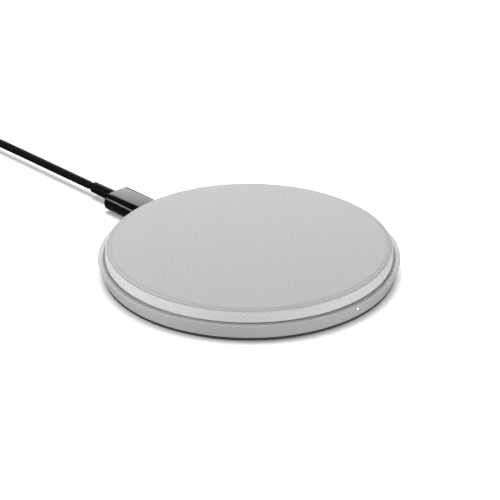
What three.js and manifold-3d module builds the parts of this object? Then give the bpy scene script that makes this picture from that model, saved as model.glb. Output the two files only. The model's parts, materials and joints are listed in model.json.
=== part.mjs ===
// A round wireless charging pad with a woven top, a metal rim and a detachable USB cable.
// Millimetres, +Z up. The origin is on the pad's axis, at the surface it stands on.
// The cable leaves towards +Y and the status light faces -Y.
import * as THREE from "three";
import { mergeVertices } from "three/addons/utils/BufferGeometryUtils.js";
import Module from "manifold-3d";

// ---------------------------------------------------------------- driving dimensions
const RIM_RADIUS = 50; // widest radius, at the rim's top edge
const RIM_BOTTOM = 1.2; // the rim floats this far above the desk
const RIM_TOP = 6.1;
const PAD_TOP = 10.2; // charging surface
const GAP = 0.3; // clearance between neighbouring pieces
const SINK = 0.2; // a boss or leg runs this far into the piece that it is joined to
const ROUND_SIDES = 48; // facets of the large round pieces

const TOP_FLAT_RADIUS = 45.4; // where the flat top starts to round over
const TOP_EDGE_RADIUS = 47.6; // outside of the woven edge
const TOP_EDGE_HEIGHT = 6.4; // lower edge of the woven cover
const SHOULDER_HEIGHT = 7.6; // centre height of the shoulder's elliptical arc
const FABRIC_THICKNESS = 0.5;

const BASE_RADIUS = 46.8;
const BASE_BOTTOM = 0.5;
const FLOOR_TOP = 2.0; // inside of the base shell's floor
const WALL = 1.2; // base shell wall
const SKIRT = { inner: 45.6, outer: 47.9, bottom: 0.2, top: 0.9, edge: 0.2 }; // flange under the rim
const FOOT_INNER = 37; // nominal radii of the foot ring's groove
const FOOT_OUTER = 43;
const FOOT_FIT = 0.2; // the groove is this much wider on each side, the ring half as much narrower

const CASE_SCREW_RADIUS = 40; // pitch radius of the four case screws
const CASE_SCREW_COUNT = 4;
const CASE_SCREW = { headRadius: 1.85, headHeight: 0.8, shankRadius: 0.95, length: 5.6 };
const CASE_SCREW_BOTTOM = 1.3;
const BOARD_SCREW_RADIUS = 30;
const BOARD_SCREW_ANGLES = [30, 150, 270];
const BOARD_SCREW = { headRadius: 1.5, headHeight: 0.7, shankRadius: 0.75, length: 2.9 };

const BOARD_BOTTOM = 2.9;
const BOARD_TOP = 3.7;
const BOARD_RADIUS = 34;
const SOLDER = 0.1; // stand-off of a component above the board

const WINDING_TURNS = 10;
const WINDING_INNER = 10.4;
const WINDING_PITCH = 1.2;
const WINDING_WIRE = 1.05; // side of the litz bundle
const WINDING_HEIGHT = 7.35; // centre height of the winding
const LEAD_RADIUS = 0.4; // of the two leads between winding and board

const PORT_HEIGHT = 3.55; // centre height of the socket and plug
const PORT_OPENING = { width: 9.7, height: 3.85, corner: 1.9 }; // hole in the rim
const SOCKET_WIDTH = 9.15;
const SOCKET_THICKNESS = 3.3;
const SOCKET_SHEET = 0.3; // sheet metal of the socket and plug shells
const SOCKET_REAR = 41;
const SOCKET_MOUTH = 48.8;
const LIGHT_HEIGHT = 4.55; // centre height of the status light
const LIGHT_HOLE_RADIUS = 0.85;
const LIGHT_ROD_RADIUS = 0.5;
const RIM_BOTTOM_RADIUS = 48.5;

const PLUG_WIDTH = 12.35;
const PLUG_THICKNESS = 6.5;
const PLUG_FRONT = RIM_RADIUS + 0.35;
const PLUG_REAR = 67;
const PLUG_CORNER = 3.2;
const MOULDING_EDGE = 0.5; // chamfer round a plug moulding's ends
const TONGUE_WIDTH = 8.25; // metal shell of the plug
const TONGUE_THICKNESS = 2.4;
const TONGUE_TIP = 43.9;
const COLLAR_REAR = 79.9;
const COLLAR_RADIUS = 1.95;

const CORD_DIAMETER = 2.9;
const COIL_Y = 182; // centre of the coiled length
const COIL_LIFT = 0.8; // the tie passes under the coil
const COIL_LAYERS = 4;
const COIL_TURNS_PER_LAYER = 2.375;
const COIL_MIDDLE_RADIUS = 6 * CORD_DIAMETER;
const COIL_PITCH = CORD_DIAMETER + 0.05;

const USB_A_WIDTH = 15.6;
const USB_A_THICKNESS = 7.8;
const USB_A_FRONT = 114.7;
const USB_A_REAR = 134.7;
const USB_A_AXIS_HEIGHT = USB_A_THICKNESS / 2 + 0.05;
const USB_A_SHELL = { width: 12, thickness: 4.5, length: 12 };
const USB_A_SLEEVE = { radius: 2.3, length: 11 };

// ---------------------------------------------------------------- solid helpers
const wasm = await Module();
wasm.setup();

// Keeps only positions, merges shared vertices and drops collapsed triangles.
function weld(geometry) {
  const bare = geometry.clone();
  bare.deleteAttribute("normal");
  bare.deleteAttribute("uv");
  const merged = mergeVertices(bare, 1e-4);
  const index = merged.getIndex().array;
  const kept = [];
  for (let i = 0; i < index.length; i += 3) {
    const [a, b, c] = [index[i], index[i + 1], index[i + 2]];
    if (a !== b && b !== c && c !== a) kept.push(a, b, c);
  }
  merged.setIndex(kept);
  return faceOutward(merged);
}

// Reverses every triangle when the enclosed volume comes out negative.
function faceOutward(geometry) {
  const position = geometry.getAttribute("position");
  const index = Array.from(geometry.getIndex().array);
  const corner = (i) => new THREE.Vector3().fromBufferAttribute(position, index[i]);
  let volume = 0;
  for (let i = 0; i < index.length; i += 3) {
    volume += corner(i).dot(corner(i + 1).cross(corner(i + 2)));
  }
  if (volume < 0) {
    for (let i = 0; i < index.length; i += 3) {
      [index[i + 1], index[i + 2]] = [index[i + 2], index[i + 1]];
    }
    geometry.setIndex(index);
  }
  return geometry;
}

function toSolid(geometry) {
  const welded = weld(geometry);
  const vertProperties = Float32Array.from(welded.getAttribute("position").array);
  const triVerts = Uint32Array.from(welded.getIndex().array);
  return new wasm.Manifold(new wasm.Mesh({ numProp: 3, vertProperties, triVerts }));
}

function toGeometry(solid) {
  const mesh = solid.getMesh();
  const geometry = new THREE.BufferGeometry();
  geometry.setAttribute("position", new THREE.BufferAttribute(mesh.vertProperties, 3));
  geometry.setIndex(new THREE.BufferAttribute(mesh.triVerts, 1));
  return geometry;
}

// Adds and removes whole geometries from a first one.
function carve(base, { add = [], remove = [] }) {
  let solid = toSolid(base);
  for (const piece of add) solid = solid.add(toSolid(piece));
  for (const piece of remove) solid = solid.subtract(toSolid(piece));
  return toGeometry(solid);
}

// A solid of revolution about Z from [radius, height] points.
function lathe(profile, sides = ROUND_SIDES) {
  const points = profile.map(([radius, height]) => new THREE.Vector2(radius, height));
  return new THREE.LatheGeometry(points, sides).rotateX(Math.PI / 2);
}

// The same, closing a ring's profile on itself.
function ring(profile, sides = ROUND_SIDES) {
  return lathe([...profile, profile[0]], sides);
}

function disc(radius, bottom, top, sides = 24) {
  return lathe([[0, bottom], [radius, bottom], [radius, top], [0, top]], sides);
}

function block(width, depth, height, x, y, bottom) {
  return new THREE.BoxGeometry(width, depth, height).translate(x, y, bottom + height / 2);
}

// A rod along Y, from one y to another.
function rodAlongY(radius, from, to, x, z, sides = 16) {
  const length = to - from;
  return new THREE.CylinderGeometry(radius, radius, length, sides)
    .translate(x, from + length / 2, z);
}

// A flat-sided outline with fully rounded ends or given corner radius.
function roundedOutline(width, height, corner) {
  const [x, y] = [width / 2, height / 2];
  const outline = new THREE.Shape();
  outline.moveTo(-x + corner, -y);
  outline.lineTo(x - corner, -y);
  outline.absarc(x - corner, -y + corner, corner, -Math.PI / 2, 0, false);
  outline.absarc(x - corner, y - corner, corner, 0, Math.PI / 2, false);
  outline.absarc(-x + corner, y - corner, corner, Math.PI / 2, Math.PI, false);
  outline.absarc(-x + corner, -y + corner, corner, Math.PI, 1.5 * Math.PI, false);
  return outline;
}

// Extrudes an outline drawn in X and Z along Y.
function extrudeAlongY(outline, from, to, { x = 0, z = 0, curveSegments = 5, edge = 0 } = {}) {
  const settings = { depth: to - from - 2 * edge, curveSegments, bevelEnabled: edge > 0 };
  Object.assign(settings, { bevelThickness: edge, bevelSize: edge, bevelOffset: -edge, bevelSegments: 1 });
  return new THREE.ExtrudeGeometry(outline, settings)
    .rotateX(Math.PI / 2)
    .translate(x, to - edge, z);
}

// A tube with flat ends along a curve.
function tube(curve, radius, steps, sides = 8) {
  const section = new THREE.Shape();
  for (let i = 0; i < sides; i++) {
    const angle = (2 * Math.PI * i) / sides;
    const place = [radius * Math.cos(angle), radius * Math.sin(angle)];
    if (i === 0) section.moveTo(...place);
    else section.lineTo(...place);
  }
  section.closePath();
  return new THREE.ExtrudeGeometry(section, { steps, extrudePath: curve, bevelEnabled: false });
}

function polar(radius, degrees) {
  const angle = THREE.MathUtils.degToRad(degrees);
  return [radius * Math.cos(angle), radius * Math.sin(angle)];
}

function finish(color, roughness, metalness) {
  return new THREE.MeshStandardMaterial({ color, roughness, metalness });
}

const FINISH = {
  fabric: () => finish(0xcfcfcf, 0.9, 0),
  aluminium: () => finish(0xb4b3b2, 0.4, 1),
  seal: () => finish(0x777777, 0.7, 0),
  blackPlastic: () => finish(0x161616, 0.5, 0),
  greyPlastic: () => finish(0x5a5c60, 0.6, 0),
  rubber: () => finish(0x1c1c1c, 0.85, 0),
  steel: () => finish(0xb8bcc2, 0.35, 1),
  board: () => finish(0x14532d, 0.5, 0),
  copper: () => finish(0xb66a34, 0.4, 1),
  ferrite: () => finish(0x2b2b2e, 0.75, 0),
  component: () => finish(0x202124, 0.45, 0),
  ceramic: () => finish(0xa08460, 0.5, 0),
  light: () => finish(0xf4f7ff, 0.2, 0),
  cord: () => finish(0x181818, 0.6, 0),
};

function addPiece(group, name, geometry, material) {
  const mesh = new THREE.Mesh(weld(geometry), material);
  mesh.name = name;
  group.add(mesh);
}

// ---------------------------------------------------------------- case
// Points of the shoulder's quarter ellipse, a set distance inside the woven surface.
function shoulderArc(inset, steps) {
  const points = [];
  for (let i = 0; i <= steps; i++) {
    const angle = (Math.PI / 2) * (i / steps);
    const radius = TOP_FLAT_RADIUS + (TOP_EDGE_RADIUS - TOP_FLAT_RADIUS - inset) * Math.sin(angle);
    const height = SHOULDER_HEIGHT + (PAD_TOP - SHOULDER_HEIGHT - inset) * Math.cos(angle);
    points.push([radius, height]);
  }
  return points;
}

function fabricCover() {
  const lipInner = 46.2;
  const lipTop = TOP_EDGE_HEIGHT + FABRIC_THICKNESS;
  const innerWall = TOP_EDGE_RADIUS - FABRIC_THICKNESS;
  return lathe([
    [0, PAD_TOP],
    ...shoulderArc(0, 4),
    [TOP_EDGE_RADIUS, TOP_EDGE_HEIGHT + GAP],
    [TOP_EDGE_RADIUS - GAP, TOP_EDGE_HEIGHT],
    [lipInner, TOP_EDGE_HEIGHT],
    [lipInner, lipTop],
    [innerWall, lipTop],
    ...shoulderArc(FABRIC_THICKNESS, 3).reverse(),
    [0, PAD_TOP - FABRIC_THICKNESS],
  ]);
}

function topPlate() {
  const inset = FABRIC_THICKNESS + 0.25;
  const wallBottom = TOP_EDGE_HEIGHT + FABRIC_THICKNESS + GAP;
  const underside = 8.1;
  const innerWall = 45.2;
  const shell = lathe([
    [0, PAD_TOP - inset],
    ...shoulderArc(inset, 3),
    [TOP_EDGE_RADIUS - inset, wallBottom],
    [innerWall, wallBottom],
    [innerWall, underside],
    [0, underside],
  ]);
  const bossRadius = 2.4;
  const bossBottom = 3.7;
  const pilotRadius = 1.3;
  const pilotTop = 7.3;
  const add = [];
  const remove = [];
  for (const [x, y] of caseScrewPlaces()) {
    add.push(disc(bossRadius, bossBottom, underside + SINK, 16).translate(x, y, 0));
    remove.push(disc(pilotRadius, bossBottom - 1, pilotTop, 12).translate(x, y, 0));
  }
  return carve(shell, { add, remove });
}

function outerRing() {
  const lowInner = BASE_RADIUS + GAP;
  const highInner = 47.95;
  const ledge = 4.95;
  const lowChamfer = 0.2;
  const innerChamfer = 0.25;
  const topChamfer = 0.3;
  const profile = ring([
    [lowInner, RIM_BOTTOM],
    [RIM_BOTTOM_RADIUS - lowChamfer, RIM_BOTTOM],
    [RIM_BOTTOM_RADIUS, RIM_BOTTOM + lowChamfer],
    [RIM_RADIUS, RIM_TOP - topChamfer],
    [RIM_RADIUS - topChamfer, RIM_TOP],
    [highInner + innerChamfer, RIM_TOP],
    [highInner, RIM_TOP - innerChamfer],
    [highInner, ledge],
    [lowInner, ledge],
  ]);
  const [inside, outside] = [lowInner - 3, RIM_RADIUS + 2];
  const { width, height, corner } = PORT_OPENING;
  const port = extrudeAlongY(roundedOutline(width, height, corner), inside, outside, { z: PORT_HEIGHT });
  const lightHole = rodAlongY(LIGHT_HOLE_RADIUS, -outside, -inside, 0, LIGHT_HEIGHT);
  return carve(profile, { remove: [port, lightHole] });
}

function sealRing() {
  const [inner, outer] = [45.9, 47.45];
  const bottom = 5.25; // on the rim's ledge, with the usual gap
  const top = TOP_EDGE_HEIGHT - GAP;
  return ring([[inner, bottom], [outer, bottom], [outer, top], [inner, top]]);
}

function caseScrewPlaces() {
  const places = [];
  for (let i = 0; i < CASE_SCREW_COUNT; i++) {
    places.push(polar(CASE_SCREW_RADIUS, 45 + (360 / CASE_SCREW_COUNT) * i));
  }
  return places;
}

function baseShell() {
  const grooveTop = 1.1;
  const wallTop = 4.7;
  const shell = lathe([
    [0, BASE_BOTTOM],
    [FOOT_INNER - FOOT_FIT, BASE_BOTTOM],
    [FOOT_INNER - FOOT_FIT, grooveTop],
    [FOOT_OUTER + FOOT_FIT, grooveTop],
    [FOOT_OUTER + FOOT_FIT, BASE_BOTTOM],
    [SKIRT.inner, BASE_BOTTOM],
    [SKIRT.inner + SKIRT.edge, SKIRT.bottom],
    [SKIRT.outer - SKIRT.edge, SKIRT.bottom],
    [SKIRT.outer, SKIRT.bottom + SKIRT.edge],
    [SKIRT.outer, SKIRT.top],
    [BASE_RADIUS, SKIRT.top],
    [BASE_RADIUS, wallTop],
    [BASE_RADIUS - WALL, wallTop],
    [BASE_RADIUS - WALL, FLOOR_TOP],
    [0, FLOOR_TOP],
  ]);
  const add = [];
  const remove = [];
  const screwBoss = { radius: 3.2, top: 3.4, counterbore: 2.2, seat: 2.4, hole: 1.3 };
  for (const [x, y] of caseScrewPlaces()) {
    add.push(disc(screwBoss.radius, FLOOR_TOP - SINK, screwBoss.top, 16).translate(x, y, 0));
    remove.push(disc(screwBoss.counterbore, 0, screwBoss.seat, 16).translate(x, y, 0));
    remove.push(disc(screwBoss.hole, 0, wallTop, 12).translate(x, y, 0));
  }
  const boardPost = { radius: 2.2, hole: 1.05, holeBottom: 1.3 };
  for (const angle of BOARD_SCREW_ANGLES) {
    const [x, y] = polar(BOARD_SCREW_RADIUS, angle);
    add.push(disc(boardPost.radius, FLOOR_TOP - SINK, BOARD_BOTTOM - GAP, 12).translate(x, y, 0));
    remove.push(disc(boardPost.hole, boardPost.holeBottom, wallTop, 10).translate(x, y, 0));
  }
  const socketBay = block(SOCKET_WIDTH + 1.05, 8, 5, 0, SOCKET_REAR + 3, 1.6);
  const lightNotch = block(1.8, 4, 3, 0, -BASE_RADIUS + 0.8, LIGHT_HEIGHT - 0.95);
  return carve(shell, { add, remove: [...remove, socketBay, lightNotch] });
}

function footRing() {
  const inner = FOOT_INNER + FOOT_FIT / 2;
  const outer = FOOT_OUTER - FOOT_FIT / 2;
  const edge = 0.2;
  const top = 0.9;
  return ring([
    [inner + edge, 0],
    [outer - edge, 0],
    [outer, edge],
    [outer, top],
    [inner, top],
    [inner, edge],
  ]);
}

// A pan-head screw pointing up: head below, shank above, with a cross recess.
function screw({ headRadius, headHeight, shankRadius, length }) {
  const crown = 0.2;
  const point = 0.4;
  const body = lathe([
    [0, 0],
    [headRadius - crown, 0],
    [headRadius, crown],
    [headRadius, headHeight],
    [shankRadius, headHeight],
    [shankRadius, length - point],
    [0, length],
  ], 8);
  const arm = 1.3 * headRadius;
  const slot = 0.45;
  const recess = headHeight / 2;
  const remove = [
    block(arm, slot, recess + 1, 0, 0, -1),
    block(slot, arm, recess + 1, 0, 0, -1),
  ];
  return carve(body, { remove });
}

function buildCase() {
  const group = new THREE.Group();
  addPiece(group, "fabric_cover", fabricCover(), FINISH.fabric());
  addPiece(group, "top_plate", topPlate(), FINISH.greyPlastic());
  addPiece(group, "seal_ring", sealRing(), FINISH.seal());
  addPiece(group, "outer_ring", outerRing(), FINISH.aluminium());
  addPiece(group, "base_shell", baseShell(), FINISH.blackPlastic());
  addPiece(group, "foot_ring", footRing(), FINISH.rubber());
  caseScrewPlaces().forEach(([x, y], i) => {
    const piece = screw(CASE_SCREW).translate(x, y, CASE_SCREW_BOTTOM);
    addPiece(group, `case_screw_${i + 1}`, piece, FINISH.steel());
  });
  return group;
}

// ---------------------------------------------------------------- electronics
function circuitBoard() {
  const thickness = BOARD_TOP - BOARD_BOTTOM;
  const board = disc(BOARD_RADIUS, BOARD_BOTTOM, BOARD_TOP, ROUND_SIDES);
  const tongue = block(16, 13.6, thickness, 0, 37.5, BOARD_BOTTOM); // carries the socket
  const remove = [block(SOCKET_WIDTH + 0.75, 8, 3, 0, SOCKET_REAR + 3.6, BOARD_BOTTOM - 1)];
  const screwHole = 1.1;
  for (const angle of BOARD_SCREW_ANGLES) {
    const [x, y] = polar(BOARD_SCREW_RADIUS, angle);
    remove.push(disc(screwHole, BOARD_BOTTOM - 1, BOARD_TOP + 1, 10).translate(x, y, 0));
  }
  return carve(board, { add: [tongue], remove });
}

// A flat spiral of square litz bundle around +Z.
class FlatSpiral extends THREE.Curve {
  getPoint(t) {
    const angle = 2 * Math.PI * WINDING_TURNS * t;
    const radius = WINDING_INNER + WINDING_PITCH * WINDING_TURNS * t;
    return new THREE.Vector3(radius * Math.cos(angle), radius * Math.sin(angle), WINDING_HEIGHT);
  }
}

function winding() {
  const half = WINDING_WIRE / 2;
  const section = squareSection(half);
  const settings = { steps: WINDING_TURNS * 16, extrudePath: new FlatSpiral(), bevelEnabled: false };
  return new THREE.ExtrudeGeometry(section, settings);
}

// A square section, for the flattened bundle of strands.
function squareSection(half) {
  const section = new THREE.Shape();
  section.moveTo(-half, -half);
  section.lineTo(half, -half);
  section.lineTo(half, half);
  section.lineTo(-half, half);
  section.closePath();
  return section;
}

function ferriteDisc() {
  const [radius, bottom, top] = [24.5, 5.5, 6.5];
  const leadSlot = block(20, 2.4, 3, 18, 0, bottom - 0.5);
  return carve(disc(radius, bottom, top, ROUND_SIDES), { remove: [leadSlot] });
}

// The tray that holds ferrite and winding above the board, on three legs.
function windingTray() {
  const [radius, bottom, top] = [25.5, 4.55, 5.2];
  const leg = { radius: 1.4, pitchRadius: 23.5, angles: [80, 200, 320] };
  const centreHole = 4;
  const add = leg.angles.map((angle) => {
    const [x, y] = polar(leg.pitchRadius, angle);
    return disc(leg.radius, BOARD_TOP + 0.2, bottom + SINK, 10).translate(x, y, 0);
  });
  const remove = [disc(centreHole, bottom - 1, top + 1, 20)];
  return carve(disc(radius, bottom, top, ROUND_SIDES), { add, remove });
}

// The lead from the winding's inner end crosses under the turns in the ferrite's slot.
function innerLead() {
  const path = new THREE.CatmullRomCurve3([
    new THREE.Vector3(9.2, 0, 6.45),
    new THREE.Vector3(10.2, 0, 6.0),
    new THREE.Vector3(18, 0, 5.95),
    new THREE.Vector3(26, 0, 5.95),
    new THREE.Vector3(28.4, 0, 5.4),
    new THREE.Vector3(29, 0, 4.0),
  ]);
  return tube(path, LEAD_RADIUS, 16, 6);
}

function outerLead() {
  const start = WINDING_INNER + WINDING_PITCH * WINDING_TURNS;
  const path = new THREE.CatmullRomCurve3([
    new THREE.Vector3(start + 0.1, 1.2, WINDING_HEIGHT),
    new THREE.Vector3(start + 2, 2.6, 7.3),
    new THREE.Vector3(27.4, 3.2, 6.9),
    new THREE.Vector3(28.6, 3.3, 5.8),
    new THREE.Vector3(28.8, 3.3, 4.0),
  ]);
  return tube(path, LEAD_RADIUS, 12, 6);
}

// A tube of sheet metal with a rounded flat section.
function flattenedTube(width, height, corner) {
  const outline = roundedOutline(width, height, corner);
  const wall = 2 * SOCKET_SHEET;
  outline.holes.push(roundedOutline(width - wall, height - wall, corner - SOCKET_SHEET));
  return outline;
}

function socketShell() {
  const outline = flattenedTube(SOCKET_WIDTH, SOCKET_THICKNESS, SOCKET_THICKNESS / 2 - 0.05);
  return extrudeAlongY(outline, SOCKET_REAR, SOCKET_MOUTH, { z: PORT_HEIGHT });
}

function socketTongue() {
  const place = { z: PORT_HEIGHT };
  const rootEnd = SOCKET_REAR + 2.2;
  const bladeEnd = SOCKET_MOUTH - 0.8;
  const root = extrudeAlongY(roundedOutline(7.9, 2.0, 0.9), SOCKET_REAR + GAP, rootEnd, place);
  const blade = extrudeAlongY(roundedOutline(6.6, 0.7, 0.3), rootEnd - SINK, bladeEnd, place);
  return carve(root, { add: [blade] });
}

function lightGuide() {
  const footPlace = -34.8;
  const foot = block(1.6, 1.2, 2 * LIGHT_ROD_RADIUS, 0, footPlace, LIGHT_HEIGHT - LIGHT_ROD_RADIUS);
  const rod = rodAlongY(LIGHT_ROD_RADIUS, 0.5 - RIM_RADIUS, footPlace + SINK, 0, LIGHT_HEIGHT, 12);
  return carve(foot, { add: [rod] });
}

// Name, width, depth, height, x and y of the parts on the board.
const CHIPS = [
  ["controller_chip", 5, 5, 0.6, 8, -10],
  ["coil_driver", 4, 4, 0.6, -9, -12],
  ["port_controller", 3, 3, 0.6, 0, 14],
  ["power_inductor", 4.2, 4.2, 2.6, -12, 29],
];

const CAPACITOR = { count: 4, width: 2.5, depth: 3.2, height: 1.8 };
const CAPACITOR_ARC = { radius: 31, start: 195, step: 11 }; // degrees

function buildElectronics() {
  const group = new THREE.Group();
  addPiece(group, "circuit_board", circuitBoard(), FINISH.board());
  BOARD_SCREW_ANGLES.forEach((angle, i) => {
    const [x, y] = polar(BOARD_SCREW_RADIUS, angle);
    const headTop = BOARD_TOP + 0.2 + BOARD_SCREW.headHeight;
    const piece = screw(BOARD_SCREW).rotateX(Math.PI).translate(x, y, headTop);
    addPiece(group, `board_screw_${i + 1}`, piece, FINISH.steel());
  });
  addPiece(group, "coil_winding", winding(), FINISH.copper());
  addPiece(group, "coil_inner_lead", innerLead(), FINISH.copper());
  addPiece(group, "coil_outer_lead", outerLead(), FINISH.copper());
  addPiece(group, "ferrite_disc", ferriteDisc(), FINISH.ferrite());
  addPiece(group, "winding_tray", windingTray(), FINISH.greyPlastic());
  addPiece(group, "temperature_sensor", disc(1.6, 6.75, 7.75, 12), FINISH.component());
  addPiece(group, "socket_shell", socketShell(), FINISH.steel());
  addPiece(group, "socket_tongue", socketTongue(), FINISH.component());
  addPiece(group, "status_led", block(1.6, 1.0, 1.1, 0, -33, BOARD_TOP + SOLDER), FINISH.light());
  addPiece(group, "light_guide", lightGuide(), FINISH.light());
  for (const [name, width, depth, height, x, y] of CHIPS) {
    const piece = block(width, depth, height, x, y, BOARD_TOP + SOLDER);
    addPiece(group, name, piece, FINISH.component());
  }
  for (let i = 0; i < CAPACITOR.count; i++) {
    const [x, y] = polar(CAPACITOR_ARC.radius, CAPACITOR_ARC.start + CAPACITOR_ARC.step * i);
    const { width, depth, height } = CAPACITOR;
    const piece = block(width, depth, height, x, y, BOARD_TOP + SOLDER);
    addPiece(group, `tuning_capacitor_${i + 1}`, piece, FINISH.ceramic());
  }
  return group;
}

// ---------------------------------------------------------------- cable
const CORD_RADIUS = CORD_DIAMETER / 2;
const COIL_HALF_WIDTH = (COIL_TURNS_PER_LAYER * COIL_PITCH) / 2;
const COIL_START_RADIUS = COIL_MIDDLE_RADIUS + COIL_HALF_WIDTH; // centreline of the outermost turn
const COIL_OUTER = COIL_START_RADIUS + CORD_RADIUS;
const COIL_INNER = COIL_MIDDLE_RADIUS - COIL_HALF_WIDTH - CORD_RADIUS;
const COIL_TOP = COIL_LIFT + COIL_LAYERS * CORD_DIAMETER;
const COIL_X = -COIL_START_RADIUS; // the cord runs straight into the outermost turn
const TAIL_X = -2 * COIL_START_RADIUS;

function plugBody() {
  const outline = roundedOutline(PLUG_WIDTH, PLUG_THICKNESS, PLUG_CORNER);
  return extrudeAlongY(outline, PLUG_FRONT, PLUG_REAR, { z: PORT_HEIGHT, edge: MOULDING_EDGE });
}

function plugShell() {
  const outline = flattenedTube(TONGUE_WIDTH, TONGUE_THICKNESS, TONGUE_THICKNESS / 2 - 0.05);
  return extrudeAlongY(outline, TONGUE_TIP, PLUG_FRONT - 0.25, { z: PORT_HEIGHT });
}

function plugInsert() {
  const outline = roundedOutline(7.0, 1.2, 0.5);
  return extrudeAlongY(outline, PLUG_FRONT - 1.95, PLUG_FRONT - GAP, { z: PORT_HEIGHT });
}

// A round sleeve along +Y with a rounded far shoulder.
function sleeve(radius, length) {
  return lathe([
    [0, 0],
    [radius + 0.15, 0],
    [radius, length - 1.2],
    [radius - 0.15, length - 0.5],
    [radius - 0.5, length],
    [0, length],
  ], 16).rotateX(-Math.PI / 2);
}

function cordLead() {
  const route = [
    [0, 80.2, 3.55], [0, 90, 3.55], [0, 100, 3.55], [0, 112, 3.55], [0, 124, 3.53], [0, 134, 3.45],
    [0, 142, 3.15], [0, 150, 2.6], [0, 157, 2.1], [0, 163.5, 1.85], [0, 170, 1.85],
  ];
  return tube(curveThrough(route), CORD_RADIUS, 20);
}

function cordTail() {
  const route = [
    [TAIL_X, 170, 11.0], [TAIL_X, 165, 10.2], [TAIL_X, 159, 7.9],
    [TAIL_X, 153, 5.3], [TAIL_X, 148.6, 4.15], [TAIL_X, 146.3, 3.95],
  ];
  return tube(curveThrough(route), CORD_RADIUS, 10);
}

function curveThrough(route) {
  return new THREE.CatmullRomCurve3(route.map((place) => new THREE.Vector3(...place)), false, "centripetal");
}

function cordCoil() {
  const bevel = 1;
  return ring([
    [COIL_INNER + bevel, COIL_LIFT],
    [COIL_OUTER - bevel, COIL_LIFT],
    [COIL_OUTER, COIL_LIFT + bevel],
    [COIL_OUTER, COIL_TOP - bevel],
    [COIL_OUTER - bevel, COIL_TOP],
    [COIL_INNER + bevel, COIL_TOP],
    [COIL_INNER, COIL_TOP - bevel],
    [COIL_INNER, COIL_LIFT + bevel],
  ], 28).translate(COIL_X, COIL_Y, 0);
}

// A band round the coil's section, on its far side. The band is straight, so it stands off
// the coil's curved inside by the arc's rise over its width.
function coilTie() {
  const bandWidth = 6;
  const rise = COIL_INNER - Math.sqrt(COIL_INNER ** 2 - (bandWidth / 2) ** 2);
  const thickness = COIL_LIFT - GAP;
  const inside = COIL_INNER - rise - GAP;
  const outside = COIL_OUTER + GAP;
  const height = COIL_TOP - COIL_LIFT + 2 * GAP;
  const band = roundedOutline(outside - inside + 2 * thickness, height + 2 * thickness, 1);
  band.holes.push(roundedOutline(outside - inside, height, 0.5));
  const settings = { depth: bandWidth, bevelEnabled: false, curveSegments: 3 };
  return new THREE.ExtrudeGeometry(band, settings)
    .translate(0, 0, -bandWidth / 2)
    .rotateX(Math.PI / 2)
    .translate((inside + outside) / 2, 0, (COIL_LIFT + COIL_TOP) / 2)
    .rotateZ(Math.PI / 2)
    .translate(COIL_X, COIL_Y, 0);
}

function usbABody() {
  const outline = roundedOutline(USB_A_WIDTH, USB_A_THICKNESS, 2.2);
  const place = { x: TAIL_X, z: USB_A_AXIS_HEIGHT, curveSegments: 4, edge: MOULDING_EDGE };
  return extrudeAlongY(outline, USB_A_FRONT, USB_A_REAR, place);
}

function usbAShell() {
  const { width, thickness, length } = USB_A_SHELL;
  const outline = flattenedTube(width, thickness, SOCKET_SHEET + 0.1);
  const place = { x: TAIL_X, z: USB_A_AXIS_HEIGHT, curveSegments: 2 };
  const rear = USB_A_FRONT - GAP;
  const shell = extrudeAlongY(outline, rear - length, rear, place);
  const window = { width: 2.4, depth: 2.2, offset: 2.9 };
  const windows = [-window.offset, window.offset].map((offset) =>
    block(window.width, window.depth, 6, TAIL_X + offset, USB_A_FRONT - 7, USB_A_AXIS_HEIGHT - 3));
  return carve(shell, { remove: windows });
}

function usbAInsert() {
  return block(10.6, 10.8, 1.6, TAIL_X, USB_A_FRONT - 6.2, USB_A_AXIS_HEIGHT);
}

function buildCable() {
  const group = new THREE.Group();
  addPiece(group, "plug_body", plugBody(), FINISH.blackPlastic());
  addPiece(group, "plug_shell", plugShell(), FINISH.steel());
  addPiece(group, "plug_insert", plugInsert(), FINISH.component());
  const collar = sleeve(COLLAR_RADIUS, COLLAR_REAR - PLUG_REAR - GAP)
    .translate(0, PLUG_REAR + GAP, PORT_HEIGHT);
  addPiece(group, "plug_strain_relief", collar, FINISH.rubber());
  addPiece(group, "cord_lead", cordLead(), FINISH.cord());
  addPiece(group, "cord_coil", cordCoil(), FINISH.cord());
  addPiece(group, "coil_tie", coilTie(), FINISH.rubber());
  addPiece(group, "cord_tail", cordTail(), FINISH.cord());
  const tailSleeve = sleeve(USB_A_SLEEVE.radius, USB_A_SLEEVE.length)
    .translate(TAIL_X, USB_A_REAR + GAP, USB_A_AXIS_HEIGHT);
  addPiece(group, "usb_a_strain_relief", tailSleeve, FINISH.rubber());
  addPiece(group, "usb_a_body", usbABody(), FINISH.blackPlastic());
  addPiece(group, "usb_a_shell", usbAShell(), FINISH.steel());
  addPiece(group, "usb_a_insert", usbAInsert(), FINISH.component());
  return group;
}

const chargingPad = new THREE.Group();
chargingPad.name = "wireless_charging_pad";
chargingPad.add(buildCase(), buildElectronics(), buildCable());

export default chargingPad;
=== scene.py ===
"""A round wireless charging pad with a woven top, a metal rim and a cable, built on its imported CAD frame."""
import json
import logging
import math
from collections.abc import Sequence
from dataclasses import dataclass
from enum import Enum

import bmesh
import bpy
from mathutils import Matrix, Vector


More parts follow.
